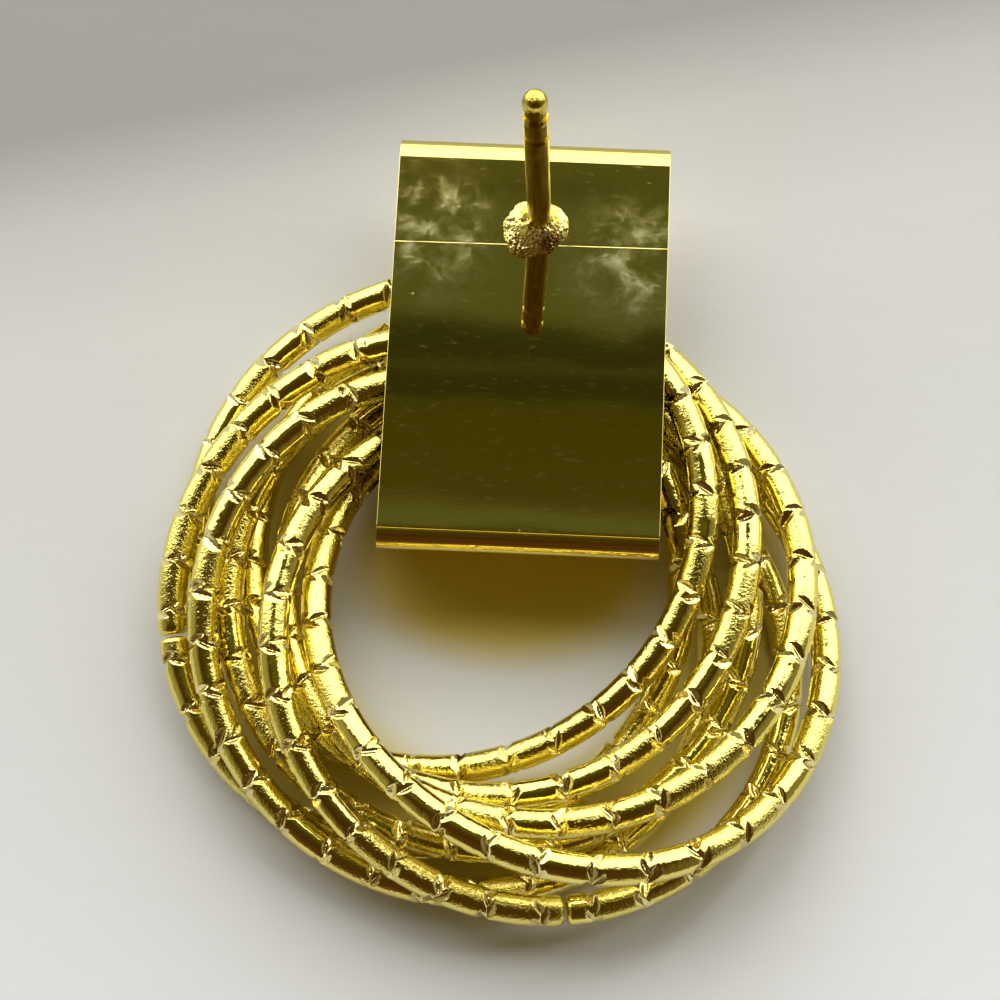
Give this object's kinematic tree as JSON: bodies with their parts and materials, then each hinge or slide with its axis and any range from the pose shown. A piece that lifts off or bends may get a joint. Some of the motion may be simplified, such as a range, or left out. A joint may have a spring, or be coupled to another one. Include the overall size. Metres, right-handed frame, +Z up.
{
  "type": "doorknocker earring",
  "caption": "Earring whose folded metal strap, with an ear post on its back, carries a knot of equal linked diamond-cut wire rings.",
  "frame": {"origin": "on the surface that the earring lies on, below the middle of its outline", "axes": "+Z up from the surface, along the ear post; +Y along the strap, from the rings to its folded top; +X across the strap"},
  "size_m": [0.0244, 0.028, 0.0149],
  "materials": {
    "polished_gold_tone": "polished",
    "diamond_cut_gold_tone": "diamond cut"
  },
  "bodies": {
    "root": {"strap_with_post": "polished_gold_tone", "ring_1": "diamond_cut_gold_tone", "ring_2": "diamond_cut_gold_tone", "ring_3": "diamond_cut_gold_tone", "ring_4": "diamond_cut_gold_tone", "ring_5": "diamond_cut_gold_tone", "ring_6": "diamond_cut_gold_tone", "ring_7": "diamond_cut_gold_tone", "ring_8": "diamond_cut_gold_tone"}
  },
  "joints": []
}
